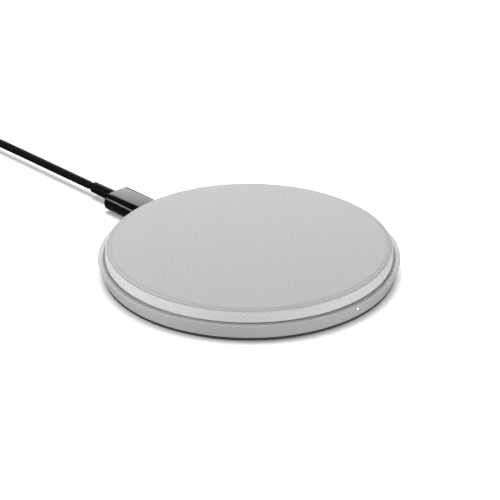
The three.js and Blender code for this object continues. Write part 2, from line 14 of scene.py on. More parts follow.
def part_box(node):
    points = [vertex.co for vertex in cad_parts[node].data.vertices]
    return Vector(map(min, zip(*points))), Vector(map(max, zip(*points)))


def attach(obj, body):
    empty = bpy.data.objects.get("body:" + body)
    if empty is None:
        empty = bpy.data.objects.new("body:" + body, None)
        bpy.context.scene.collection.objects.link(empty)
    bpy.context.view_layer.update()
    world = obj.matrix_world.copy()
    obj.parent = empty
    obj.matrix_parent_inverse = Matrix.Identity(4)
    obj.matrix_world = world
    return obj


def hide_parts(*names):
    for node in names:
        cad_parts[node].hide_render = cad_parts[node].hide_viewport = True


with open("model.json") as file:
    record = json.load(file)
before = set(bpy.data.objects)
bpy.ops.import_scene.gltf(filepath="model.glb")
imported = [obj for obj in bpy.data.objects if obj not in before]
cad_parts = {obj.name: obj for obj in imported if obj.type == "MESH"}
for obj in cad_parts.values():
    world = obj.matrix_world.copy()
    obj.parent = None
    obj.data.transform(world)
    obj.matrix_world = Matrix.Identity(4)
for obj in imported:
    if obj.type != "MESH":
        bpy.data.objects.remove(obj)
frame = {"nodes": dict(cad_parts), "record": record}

LOG = logging.getLogger("charging_pad")
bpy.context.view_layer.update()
MM = 0.001
ROUND = 224  # segments of the large round pieces
SMALL_ROUND = 32
SMOOTH_BELOW = math.radians(40)  # edges bent less than this are shaded smooth
CLOTH_PLACE = "cloth_place"  # a vertex's place on the flat cloth, in metres
SEED = 7
ON_AXIS = 1e-7  # a smaller radius is a point on the axis
LEAST_CORNER = 0.02 * MM
CUTTER_EDGE = 0.1 * MM  # the rounding at the ends of bars that only cut

Colour = tuple[float, float, float]
Corner = tuple[float, float, float]
Size = tuple[float, float, float]
Piece = bpy.types.Object
Material = bpy.types.Material
Mesh = bmesh.types.BMesh
Places = list[Vector]


class Body(Enum):
    """The two bodies that move against each other."""

    PAD = "pad"
    CABLE = "cable"


class Slot(Enum):
    """The record's material slots."""

    WOVEN = "woven_fabric"
    RIM = "rim_metal"
    SEAL = "seal"
    BASE = "base_plastic"
    INNER = "inner_plastic"
    FOOT = "foot_rubber"
    STEEL = "steel"
    BOARD = "board"
    COPPER = "copper"
    FERRITE = "ferrite"
    COMPONENT = "component"
    CERAMIC = "ceramic"
    LIGHT = "light"
    PLUG = "plug_plastic"
    JACKET = "cable_jacket"
    STRAP = "tie_strap"


# ---------------------------------------------------------------- shader expressions
class Shade:
    """A socket of a material's node tree. Its operators add Math nodes to the tree."""

    def __init__(self, graph: "NodeGraph", socket: bpy.types.NodeSocket) -> None:
        """Wraps one output socket."""
        self.graph = graph
        self.socket = socket

    def math(self, operation: str, *others: "Value") -> "Shade":
        """Adds a Math node that starts with this value."""
        return self.graph.math(operation, self, *others)

    def __add__(self, other: "Value") -> "Shade":
        """The sum."""
        return self.math("ADD", other)

    __radd__ = __add__

    def __sub__(self, other: "Value") -> "Shade":
        """The difference."""
        return self.math("SUBTRACT", other)

    def __rsub__(self, other: "Value") -> "Shade":
        """The difference, with the number first."""
        return self.graph.math("SUBTRACT", other, self)

    def __mul__(self, other: "Value") -> "Shade":
        """The product."""
        return self.math("MULTIPLY", other)

    __rmul__ = __mul__

    def __abs__(self) -> "Shade":
        """The value without its sign."""
        return self.math("ABSOLUTE")

    def sine(self) -> "Shade":
        """The sine of the value, in radians."""
        return self.math("SINE")

    def ramp(self, low: float, high: float) -> "Shade":
        """Rises smoothly from 0 at one value to 1 at another."""
        settings = {"interpolation_type": "SMOOTHSTEP"}
        return self.graph.node("MapRange", settings, {"Value": self, "From Min": low, "From Max": high})


Value = float | Shade


def grey(value: float) -> Colour:
    """A neutral colour."""
    return value, value, value


def darker(colour: Colour, share: float) -> Colour:
    """A colour with a share of its brightness."""
    return tuple(part * share for part in colour)


class NodeGraph:
    """A material under construction."""

    def __init__(self, name: str) -> None:
        """Starts an empty material with its output."""
        self.material = bpy.data.materials.new(name)
        self.material.use_nodes = True
        self.tree = self.material.node_tree
        self.tree.nodes.clear()

    def node(
        self,
        kind: str,
        settings: dict[str, object] | None = None,
        inputs: dict[str | int, object] | None = None,
        output: str | int = 0,
    ) -> Shade:
        """Adds a node of any type.

        Args:
            kind: The node's type, without "ShaderNode".
            settings: Its properties, which are set first.
            inputs: Values or links of its sockets, by name or number.
            output: The output that is wanted.

        Returns:
            The wrapped output, or the first input of a node that has no output.
        """
        made = self.tree.nodes.new("ShaderNode" + kind)
        for name, value in (settings or {}).items():
            setattr(made, name, value)
        for key, value in (inputs or {}).items():
            if isinstance(value, Shade):
                self.tree.links.new(value.socket, made.inputs[key])
            else:
                made.inputs[key].default_value = value
        return Shade(self, made.outputs[output] if made.outputs else made.inputs[0])

    def math(self, operation: str, *values: Value) -> Shade:
        """Adds a Math node on values or numbers."""
        return self.node("Math", {"operation": operation}, dict(enumerate(values)))

    def mix(self, factor: Value, first: Colour | Shade, second: Colour | Shade) -> Shade:
        """Blends two colours."""
        sides = [c if isinstance(c, Shade) else (*c, 1.0) for c in (first, second)]
        return self.node("Mix", {"data_type": "RGBA"}, {0: factor, 6: sides[0], 7: sides[1]}, 2)

    def place(self) -> Shade:
        """The point's place in the object's own frame, in metres."""
        return self.node("TexCoord", output="Object")

    def stretched(self, vector: Shade, scale: Size) -> Shade:
        """A vector with each axis scaled."""
        return self.node("VectorMath", {"operation": "MULTIPLY"}, {0: vector, 1: scale})

    def axes(self, vector: Shade) -> tuple[Shade, Shade, Shade]:
        """The three parts of a vector."""
        first = self.node("SeparateXYZ", inputs={0: vector})
        x, y, z = (Shade(self, out) for out in first.socket.node.outputs)
        return x, y, z

    def noise(self, vector: Shade, size: float, detail: float = 2.0) -> Shade:
        """Soft noise from 0 to 1 whose lumps are about one size across."""
        return self.node("TexNoise", inputs={"Vector": vector, "Scale": 1 / size, "Detail": detail})

    def bump(self, height: Value, depth: float) -> Shade:
        """The normal of a relief that is 1 high and stands for a depth in metres."""
        return self.node("Bump", inputs={"Height": height, "Distance": depth})

    def surface(self, inputs: dict[str, object]) -> Material:
        """Ends the material in a Principled shader.

        Args:
            inputs: Values or links of the shader's sockets, by name.

        Returns:
            The finished material.
        """
        shader = self.node("BsdfPrincipled", inputs=inputs)
        self.node("OutputMaterial", inputs={"Surface": shader})
        return self.material


# ---------------------------------------------------------------- finishes
@dataclass(frozen=True)
class Finish:
    """How the pieces of one material slot look."""

    slot: Slot
    variant: str = "plain"

    def material(self) -> Material:
        """The finish's material, made when it is first asked for."""
        name = f"{self.slot.value}_{self.variant}"
        return bpy.data.materials.get(name) or self.draw(NodeGraph(name))

    def draw(self, graph: NodeGraph) -> Material:
        """Builds the material's nodes."""
        raise NotImplementedError


@dataclass(frozen=True)
class WovenCloth(Finish):
    """A plain weave of flat grey-white yarn, laid askew to the pad's axes."""

    slot: Slot = Slot.WOVEN
    yarn: Colour = grey(0.60)
    # the colour of the gaps between threads, darker as painted shade
    crevice_shade: Colour = grey(0.46)
    pitch: float = 1.06 * MM
    bias: float = math.radians(-44)
    relief: float = 0.06 * MM
    swell: float = 0.38  # how much of a thread's height comes from passing over another
    lowest: float = 0.25  # the tone in the gaps, darkened there as painted shade, and what each part adds to it
    shade_by_height: float = 0.3
    # the crossing's part is painted sheen: lighter where the warp lies on top
    sheen_by_crossing: float = 0.22
    by_fibre: float = 0.2
    by_thread: float = 0.1
    # painted shade along the crease round the disc
    crease_shade: Colour = grey(0.45)
    crease_shade_middle: float = 46.5 * MM  # how far along the cloth the crease round the disc is, where painted shade is darkest
    crease_shade_reach: float = 1.7 * MM

    def draw(self, graph: NodeGraph) -> Material:
        """Builds two crossed sets of threads, with painted shade in gaps and crease and painted sheen."""
        cloth = graph.node("Attribute", {"attribute_name": CLOTH_PLACE}, output="Vector")
        x, y, _ = graph.axes(cloth)
        along = x * math.cos(self.bias) + y * math.sin(self.bias)
        across = y * math.cos(self.bias) - x * math.sin(self.bias)
        warp = (along * (math.pi / self.pitch)).sine()
        weft = (across * (math.pi / self.pitch)).sine()
        over = warp * weft
        flat = 1 - self.swell
        warp_height = abs(warp) * (flat + over * self.swell)
        weft_height = abs(weft) * (flat - over * self.swell)
        height = warp_height.math("MAXIMUM", weft_height)
        warp_on_top = warp_height.math("GREATER_THAN", weft_height)
        fibres = self.fibres(graph, along, across, warp_on_top)
        threads = self.threads(graph, along, across, warp_on_top)
        # gaps darker as painted shade, warp-on-top cells lighter as painted sheen; fibres and threads vary at
        # random
        tone = height.ramp(0.05, 0.6) * self.shade_by_height + over * self.sheen_by_crossing + self.lowest
        tone = tone + fibres * self.by_fibre + threads * self.by_thread
        spread = graph.node("VectorMath", {"operation": "LENGTH"}, {0: cloth}, output="Value")
        # painted shade along the crease: darkest on it, gone a reach away from it
        clear = abs(spread - self.crease_shade_middle).ramp(0.0, self.crease_shade_reach)
        return graph.surface({
            "Base Color": graph.mix(clear, self.crease_shade, graph.mix(tone, self.crevice_shade, self.yarn)),
            "Roughness": 0.85,
            "Specular IOR Level": 0.25,
            "Sheen Weight": 0.12,
            "Sheen Roughness": 0.5,
            "Normal": graph.bump(height + fibres * 0.12, self.relief),
        })

    def fibres(self, graph: NodeGraph, along: Shade, across: Shade, warp_on_top: Shade) -> Shade:
        """Fine filaments that run along whichever thread is on top."""
        thick, thin = 0.12, 1.0
        warp = graph.node("CombineXYZ", inputs={0: along * thin, 1: across * thick})
        weft = graph.node("CombineXYZ", inputs={0: along * thick, 1: across * thin, 2: 1.0})
        size = 0.07 * MM
        return graph.noise(warp, size) * warp_on_top + graph.noise(weft, size) * (1 - warp_on_top)

    def threads(self, graph: NodeGraph, along: Shade, across: Shade, warp_on_top: Shade) -> Shade:
        """A tone of its own for each thread, from 0 to 1."""
        tones = []
        for number, place in enumerate((along, across)):
            index = (place * (1 / self.pitch)).math("FLOOR") + SEED * (number + 1)
            tones.append(graph.node("TexWhiteNoise", {"noise_dimensions": "1D"}, {"W": index}))
        return tones[0] * warp_on_top + tones[1] * (1 - warp_on_top)


@dataclass(frozen=True)
class BlastedMetal(Finish):
    """Bead-blasted and anodised aluminium."""

    slot: Slot = Slot.RIM
    colour: Colour = (0.49, 0.48, 0.48)
    metallic: float = 0.1
    roughness: float = 0.45
    grain: float = 0.22 * MM
    relief: float = 0.012 * MM

    def draw(self, graph: NodeGraph) -> Material:
        """Builds the fine grain and a faint cloudiness."""
        place = graph.place()
        grain = graph.noise(place, self.grain, 3.0)
        cloud = graph.noise(place, 14 * MM)
        dark = darker(self.colour, 0.86)
        return graph.surface({
            "Base Color": graph.mix(grain.ramp(0.3, 0.7) * 0.7 + cloud * 0.3, dark, self.colour),
            "Metallic": self.metallic,
            "Roughness": self.roughness + (grain - 0.5) * 0.12,
            "Normal": graph.bump(grain, self.relief),
        })


@dataclass(frozen=True)
class Moulded(Finish):
    """Moulded plastic, rubber, ceramic or ferrite: a base colour with a grain of its own."""

    colour: Colour = grey(0.02)
    light: Colour = grey(0.03)
    roughness: float = 0.5
    unevenness: float = 0.1
    grain: float = 0.3 * MM
    relief: float = 0.01 * MM
    specular: float = 0.5

    def draw(self, graph: NodeGraph) -> Material:
        """Builds the grain, with smudges in the gloss."""
        place = graph.place()
        grain = graph.noise(place, self.grain, 3.0)
        smudge = graph.noise(place, 6 * MM)
        return graph.surface({
            "Base Color": graph.mix(grain.ramp(0.35, 0.75), self.colour, self.light),
            "Roughness": self.roughness + (smudge - 0.5) * self.unevenness + (grain - 0.5) * 0.06,
            "Specular IOR Level": self.specular,
            "Normal": graph.bump(grain, self.relief),
        })


@dataclass(frozen=True)
class PlatedSteel(Finish):
    """Bright plated sheet metal with fine drawing lines along Y."""

    slot: Slot = Slot.STEEL
    colour: Colour = (0.66, 0.67, 0.69)
    roughness: float = 0.24

    def draw(self, graph: NodeGraph) -> Material:
        """Builds the drawing lines."""
        lines = graph.noise(graph.stretched(graph.place(), (1.0, 0.03, 1.0)), 0.08 * MM, 3.0)
        dark = darker(self.colour, 0.8)
        return graph.surface({
            "Base Color": graph.mix(lines, dark, self.colour),
            "Metallic": 1.0,
            "Roughness": self.roughness + (lines - 0.5) * 0.15,
            "Normal": graph.bump(lines, 0.004 * MM),
        })


@dataclass(frozen=True)
class SolderMask(Finish):
    """A circuit board's green lacquer with tracks showing through it."""

    slot: Slot = Slot.BOARD
    lacquer: Colour = (0.012, 0.10, 0.04)
    track: Colour = (0.03, 0.19, 0.07)
    track_pitch: float = 0.9 * MM

    def draw(self, graph: NodeGraph) -> Material:
        """Builds bands of parallel tracks that turn with the ground's pattern."""
        place = graph.place()
        x, y, _ = graph.axes(place)
        turn = graph.noise(place, 11 * MM, 0.0).math("GREATER_THAN", 0.5)
        runs = x * turn + y * (1 - turn)
        tracks = (runs * (2 * math.pi / self.track_pitch)).sine().ramp(0.1, 0.35)
        return graph.surface({
            "Base Color": graph.mix(tracks, self.lacquer, self.track),
            "Roughness": 0.32,
            "Normal": graph.bump(tracks, 0.03 * MM),
        })


@dataclass(frozen=True)
class LitzCopper(Finish):
    """Enamelled strands bundled into one flattened wire."""

    slot: Slot = Slot.COPPER
    colour: Colour = (0.62, 0.27, 0.11)

    def draw(self, graph: NodeGraph) -> Material:
        """Builds the twisted strands."""
        x, y, _ = graph.axes(graph.place())
        strands = abs(((x + y * 0.6) * (math.pi / (0.25 * MM))).sine())
        dark = darker(self.colour, 0.35)
        return graph.surface({
            "Base Color": graph.mix(strands.ramp(0.0, 0.5), dark, self.colour),
            "Metallic": 1.0,
            "Roughness": 0.36,
            "Normal": graph.bump(strands, 0.04 * MM),
        })


@dataclass(frozen=True)
class LitLens(Finish):
    """The clear rod's end, glowing brighter at its middle."""

    slot: Slot = Slot.LIGHT
    glow: Colour = (1.0, 1.0, 1.0)
    edge: Colour = (0.75, 0.82, 0.95)
    strength: float = 1.0

    def draw(self, graph: NodeGraph) -> Material:
        """Builds the glow from the distance to the rod's axis."""
        rod = Extent.of("light_guide")
        x, _, z = graph.axes(graph.place())
        square = x * x + (z - rod.middle.z) * (z - rod.middle.z)
        rim = square.math("SQRT").ramp(0.2 * MM, 0.55 * MM)
        glow = graph.mix(rim, self.glow, self.edge)
        return graph.surface({
            "Base Color": glow,
            "Roughness": 0.2,
            "Emission Color": glow,
            "Emission Strength": self.strength,
        })


@dataclass(frozen=True)
class Webbing(Finish):
    """Black hook-and-loop strap: a felted face over a ribbed ground."""

    slot: Slot = Slot.STRAP
    colour: Colour = (0.012, 0.012, 0.013)
    fluff: Colour = (0.055, 0.055, 0.058)
    rib: float = 0.5 * MM

    def draw(self, graph: NodeGraph) -> Material:
        """Builds ribs across the strap and loose loops on them."""
        place = graph.place()
        x, _, _ = graph.axes(place)
        ribs = abs((x * (math.pi / self.rib)).sine())
        loops = graph.node("TexVoronoi", inputs={"Vector": place, "Scale": 1 / (0.3 * MM)})
        height = ribs * 0.5 + (1 - loops) * 0.5
        return graph.surface({
            "Base Color": graph.mix(height.ramp(0.3, 0.9), self.colour, self.fluff),
            "Roughness": 0.9,
            "Sheen Weight": 0.2,
            "Normal": graph.bump(height, 0.12 * MM),
        })


@dataclass(frozen=True)
class Sweep(Finish):
    """The studio's white floor."""

    slot: Slot = Slot.INNER
    variant: str = "studio_floor"
    white: Colour = grey(0.96)
    shade: Colour = grey(0.94)

    def draw(self, graph: NodeGraph) -> Material:
        """Builds a barely uneven matt white, clear on the side that the disc's faces point to."""
        cloud = graph.noise(graph.place(), 60 * MM)
        return graph.surface({
            "Base Color": graph.mix(cloud, self.shade, self.white),
            "Roughness": 0.9,
            "Specular IOR Level": 0.0,
            "Alpha": graph.node("NewGeometry", output="Backfacing"),
        })


# the cut edges: smoother than the rim, and lighter in colour as a painted highlight
CUT_EDGE_HIGHLIGHT = BlastedMetal(variant="cut_edge", colour=(0.56, 0.55, 0.55), roughness=0.34, grain=0.05 * MM)
FINISHES: dict[Slot, Finish] = {
    Slot.WOVEN: WovenCloth(),
    Slot.RIM: BlastedMetal(),
    Slot.SEAL: Moulded(Slot.SEAL, colour=(0.52, 0.515, 0.515), light=(0.56, 0.555, 0.555), roughness=0.7),
    Slot.BASE: Moulded(Slot.BASE, colour=grey(0.032), light=grey(0.055), roughness=0.7,
                       relief=0.02 * MM, specular=0.2),
    Slot.INNER: Moulded(Slot.INNER, colour=(0.09, 0.095, 0.105), light=(0.12, 0.125, 0.135)),
    Slot.FOOT: Moulded(Slot.FOOT, colour=grey(0.01), light=grey(0.024), roughness=0.8,
                       grain=0.5 * MM, relief=0.02 * MM, specular=0.3),
    Slot.STEEL: PlatedSteel(),
    Slot.BOARD: SolderMask(),
    Slot.COPPER: LitzCopper(),
    Slot.FERRITE: Moulded(Slot.FERRITE, colour=(0.02, 0.02, 0.023), light=(0.07, 0.07, 0.078), roughness=0.7),
    Slot.COMPONENT: Moulded(Slot.COMPONENT, colour=(0.012, 0.012, 0.014), light=(0.022, 0.022, 0.025)),
    Slot.CERAMIC: Moulded(Slot.CERAMIC, colour=(0.30, 0.20, 0.11), light=(0.42, 0.30, 0.18)),
    Slot.LIGHT: LitLens(),
    Slot.PLUG: Moulded(Slot.PLUG, colour=grey(0.002), light=grey(0.004), roughness=0.13,
                       unevenness=0.04, grain=0.12 * MM, relief=0.001 * MM, specular=0.16),
    Slot.JACKET: Moulded(Slot.JACKET, colour=grey(0.003), light=grey(0.006),
                         roughness=0.5, grain=0.25 * MM, relief=0.004 * MM, specular=0.03),
    Slot.STRAP: Webbing(),
}


# ---------------------------------------------------------------- measuring and drawing
@dataclass(frozen=True)
class Extent:
    """The box of a CAD node."""

    low: Vector
    high: Vector

    @classmethod
    def of(cls, node: str) -> "Extent":
        """The box of one node, in metres."""
        return cls(*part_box(node))

    @property
    def middle(self) -> Vector:
        """Its centre."""
        return (self.low + self.high) / 2

    @property
    def size(self) -> Vector:
        """Its three sides."""
        return self.high - self.low

    @property
    def radius(self) -> float:
        """Half its width."""
        return self.size.x / 2


def rounded(corners: Sequence[Corner], closed: bool = True, steps: int = 6) -> Places:
    """Draws an outline whose corners are arcs.

    Args:
        corners: Each corner's two coordinates and the radius of its arc.
        closed: Whether the outline ends where it starts.
        steps: Segments in each arc.

    Returns:
        The outline's points in two dimensions.
    """
    points = []
    count = len(corners)
    for i, (x, y, radius) in enumerate(corners):
        here = Vector((x, y))
        if radius <= 0 or (not closed and i in (0, count - 1)):
            points.append(here)
            continue
        back = Vector(corners[i - 1][:2]) - here
        ahead = Vector(corners[(i + 1) % count][:2]) - here
        half = back.angle(ahead) / 2
        reach = min(radius / math.tan(half), 0.499 * back.length, 0.499 * ahead.length)
        bisector = (back.normalized() + ahead.normalized()).normalized()
        centre = here + bisector * (reach / math.cos(half))
        start = here + back.normalized() * reach - centre
        sweep = start.angle_signed(here + ahead.normalized() * reach - centre)
        for k in range(steps + 1):
            turn = -sweep * k / steps
            spoke = Vector((
                start.x * math.cos(turn) - start.y * math.sin(turn),
                start.x * math.sin(turn) + start.y * math.cos(turn),
            ))
            points.append(centre + spoke)
    return points


def rounded_box(x: float, y: float, corner: float, steps: int) -> Places:
    """Draws a rounded rectangle about the origin, from its half sides."""
    return rounded([(-x, -y, corner), (x, -y, corner), (x, y, corner), (-x, y, corner)], steps=steps)


def to_object(name: str, mesh: Mesh) -> Piece:
    """Turns a finished bmesh into an object with its faces out and shaded smooth."""
    bmesh.ops.recalc_face_normals(mesh, faces=mesh.faces)
    data = bpy.data.meshes.new(name)
    mesh.to_mesh(data)
    mesh.free()
    piece = bpy.data.objects.new(name, data)
    bpy.context.scene.collection.objects.link(piece)
    smooth(piece)
    return piece


def smooth(piece: Piece) -> None:
    """Shades a piece smooth except across its sharp edges."""
    piece.data.shade_smooth()
    piece.data.set_sharp_from_angle(angle=SMOOTH_BELOW)


def revolve(name: str, outline: Places, closed: bool = True, segments: int = ROUND,
            cloth: Sequence[float] | None = None) -> Piece:
    """Turns an outline of radius and height about Z.

    Args:
        name: The piece's name.
        outline: Radii and heights. An open one starts and ends on the axis.
        closed: Whether the outline closes on itself, as a ring's does.
        segments: Steps round the axis.
        cloth: How far along the cloth each point of the outline is from the axis.

    Returns:
        The piece.
    """
    mesh = bmesh.new()
    layer = mesh.verts.layers.float_vector.new(CLOTH_PLACE) if cloth else None
    rings = []
    for i, (radius, height) in enumerate(outline):
        loop = []
        for k in range(1 if radius < ON_AXIS else segments):
            turn = 2 * math.pi * k / segments
            spoke = Vector((math.cos(turn), math.sin(turn), 0))
            vertex = mesh.verts.new(spoke * radius + Vector((0, 0, height)))
            if layer:
                vertex[layer] = spoke * cloth[i]
            loop.append(vertex)
        rings.append(loop)
    skin(mesh, rings, closed)
    return to_object(name, mesh)


def skin(mesh: Mesh, rings: list[list[bmesh.types.BMVert]], closed: bool) -> None:
    """Joins each ring of vertices to the next, where a ring of one is a pole.

    Args:
        mesh: The mesh under construction.
        rings: The rings in order.
        closed: Whether the last ring joins the first.
    """
    pairs = list(zip(rings, rings[1:]))
    if closed:
        pairs.append((rings[-1], rings[0]))
    for first, second in pairs:
        count = max(len(first), len(second))
        for k in range(count):
            after = (k + 1) % count
            corners = [first[k % len(first)], first[after % len(first)],
                       second[after % len(second)], second[k % len(second)]]
            mesh.faces.new(list(dict.fromkeys(corners)))


def loft(name: str, loops: Sequence[Places], closed: bool = False) -> Piece:
    """Skins over loops of equal count.

    Args:
        name: The piece's name.
        loops: Loops of points in space.
        closed: Whether the last loop joins the first. Otherwise both ends are capped.

    Returns:
        The piece.
    """
    mesh = bmesh.new()
    rings = [[mesh.verts.new(place) for place in loop] for loop in loops]
    skin(mesh, rings, closed)
    if not closed:
        mesh.faces.new(rings[0])
        mesh.faces.new(rings[-1])
    return to_object(name, mesh)


def rod(name: str, radius: float, bottom: float, top: float) -> Piece:
    """Makes an upright rod on the Z axis."""
    outline = [Vector(place) for place in ((0, bottom), (radius, bottom), (radius, top), (0, top))]
    return revolve(name, outline, closed=False, segments=SMALL_ROUND)


def along_y(piece: Piece, place: Vector) -> Piece:
    """Turns a piece made about Z so that it points along +Y, and moves its base to a place."""
    piece.data.transform(Matrix.Translation(place) @ Matrix.Rotation(math.radians(-90), 4, "X"))
    return piece


def cut(piece: Piece, tools: Sequence[Piece], operation: str = "DIFFERENCE") -> None:
    """Cuts other objects out of a piece, or joins them to it, and removes them.

    Args:
        piece: The piece that is changed.
        tools: The objects to cut out or join.
        operation: The boolean operation.
    """
    for tool in tools:
        change = piece.modifiers.new("cut", "BOOLEAN")
        change.operation = operation
        change.solver = "EXACT"
        change.object = tool
    bpy.context.view_layer.update()
    evaluated = piece.evaluated_get(bpy.context.evaluated_depsgraph_get())
    result = bpy.data.meshes.new_from_object(evaluated)
    piece.modifiers.clear()
    piece.data = result
    for tool in tools:
        bpy.data.objects.remove(tool)
    smooth(piece)


def settle(piece: Piece, body: Body, slot: Slot, nodes: Sequence[str] = ()) -> Piece:
    """Dresses a piece, hangs it on its body and hides the CAD nodes that it stands for.

    Args:
        piece: The piece, in place.
        body: The body that carries it.
        slot: Its material slot, whose finish it gets unless it already has materials.
        nodes: The CAD nodes that it replaces.

    Returns:
        The piece.
    """
    if not piece.data.materials:
        piece.data.materials.append(FINISHES[slot].material())
    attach(piece, body.value)
    if nodes:
        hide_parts(*nodes)
    LOG.info("%s on %s, %d faces, for %s", piece.name, body.value, len(piece.data.polygons), list(nodes))
    return piece


@dataclass(frozen=True)
class Bar:
    """A bar along Y with a rounded rectangular section and rounded ends."""

    width: float
    thickness: float
    corner: float
    front: float
    rear: float
    front_edge: float
    rear_edge: float
    centre: Vector
    steps: int = 8

    @classmethod
    def like(cls, node: str, corner: float, front_edge: float, rear_edge: float) -> "Bar":
        """A bar in the box of a CAD node."""
        box = Extent.of(node)
        return cls(box.size.x, box.size.z, corner, box.low.y, box.high.y, front_edge, rear_edge, box.middle)

    @classmethod
    def around(cls, centre: Vector, size: Size, corner: float, edge: float, steps: int = 8) -> "Bar":
        """A bar with both ends alike.

        Args:
            centre: Its middle.
            size: Its width, length and thickness.
            corner: The radius of its long edges.
            edge: The radius round both ends.
            steps: Segments in each rounding.

        Returns:
            The bar.
        """
        width, length, thickness = size
        front, rear = centre.y - length / 2, centre.y + length / 2
        return cls(width, thickness, corner, front, rear, edge, edge, centre, steps)

    def section(self, y: float, inset: float) -> Places:
        """The section at one place, drawn in by an inset."""
        x, z = self.width / 2 - inset, self.thickness / 2 - inset
        corner = max(self.corner - inset, LEAST_CORNER)
        outline = rounded_box(x, z, corner, self.steps)
        return [Vector((self.centre.x + u, y, self.centre.z + v)) for u, v in outline]

    def end(self, y: float, edge: float, outward: int) -> list[Places]:
        """The sections that round one end, from its face to the full section."""
        loops = []
        for k in range(self.steps + 1):
            angle = math.pi / 2 * k / self.steps
            place = y - outward * edge * (1 - math.cos(angle))
            loops.append(self.section(place, edge * (1 - math.sin(angle))))
        return loops

    def solid(self, name: str) -> Piece:
        """The bar as a solid."""
        front = self.end(self.front, self.front_edge, -1)
        rear = self.end(self.rear, self.rear_edge, 1)
        return loft(name, front + rear[::-1])

    def tube(self, name: str, wall: float) -> Piece:
        """The bar as a thin tube, open at both ends, with rolled lips."""
        lip = wall / 2
        loops = []
        for y, outward in ((self.front, -1), (self.rear, 1)):
            for k in range(5):
                angle = math.pi * k / 4
                inset = lip + outward * lip * math.cos(angle)
                loops.append(self.section(y - outward * lip * (1 - math.sin(angle)), inset))
        return loft(name, loops, closed=True)


def as_one(name: str, bars: Sequence[Bar]) -> Piece:
    """Makes separate bars as one piece."""
    mesh = bmesh.new()
    for bar in bars:
        part = bar.solid("bar")
        mesh.from_mesh(part.data)
        bpy.data.objects.remove(part)
    return to_object(name, mesh)


# ---------------------------------------------------------------- the pad
@dataclass
class WovenTop:
    """The cloth skin: a flat disc, a small step round it and the rounded shoulder below."""

    disc_radius: float = 46.35 * MM
    step: float = 0.55 * MM
    step_width: float = 0.16 * MM
    roll: float = 0.6 * MM  # how far in from its edge the disc starts to roll over
    shoulder: tuple[float, float] = (0.5 * MM, 0.8 * MM)  # how far in and down it starts to round
    hem: float = 6.0 * MM
    hem_edge: float = 0.12 * MM
    hem_inner: float = 46.2 * MM
    thickness: float = 0.5 * MM
    disc_rings: int = 12

    def outline(self, box: Extent) -> tuple[Places, Places]:
        """The outer and inner halves of the cloth's section."""
        top, hem, edge = box.high.z, self.hem, box.radius
        ledge = top - self.step
        foot = self.disc_radius + self.step_width
        inner_edge = edge - self.thickness
        outer = rounded([
            (0, top, 0), (self.disc_radius - self.roll, top, 1.6 * MM),
            (self.disc_radius, top - 0.3 * self.step, 0.4 * MM), (foot, ledge, 0.12 * MM),
            (edge - self.shoulder[0], ledge, MM), (edge, ledge - self.shoulder[1], 1.2 * MM),
            (edge, hem, self.hem_edge), (self.hem_inner, hem, 0),
        ], closed=False)
        inner = rounded([
            (self.hem_inner, hem + self.thickness, 0),
            (inner_edge, hem + self.thickness, 0.1 * MM),
            (inner_edge, ledge - self.thickness, MM),
            (0, ledge - self.thickness, 0),
        ], closed=False)
        return outer, inner

    def build(self) -> Piece:
        """Makes the cloth, with each point's place on the flat cloth."""
        outer, inner = self.outline(Extent.of("fabric_cover"))
        travelled = [0.0]
        for before, after in zip(outer, outer[1:]):
            travelled.append(travelled[-1] + (after - before).length)
        cloth = travelled + [point.x for point in inner]
        top = revolve("woven_top", self.fine(outer) + inner, closed=False,
                      cloth=self.fine_cloth(outer, cloth))
        settle(top, Body.PAD, Slot.WOVEN, ["fabric_cover"])
        return top

    def fine(self, outer: Places) -> Places:
        """The outline with rings on its flat disc."""
        rings = [outer[0].lerp(outer[1], k / self.disc_rings) for k in range(self.disc_rings)]
        return rings + outer[1:]

    def fine_cloth(self, outer: Places, cloth: list[float]) -> list[float]:
        """The places on the cloth that go with the finer outline."""
        return [outer[1].x * (k / self.disc_rings) for k in range(self.disc_rings)] + cloth[1:]


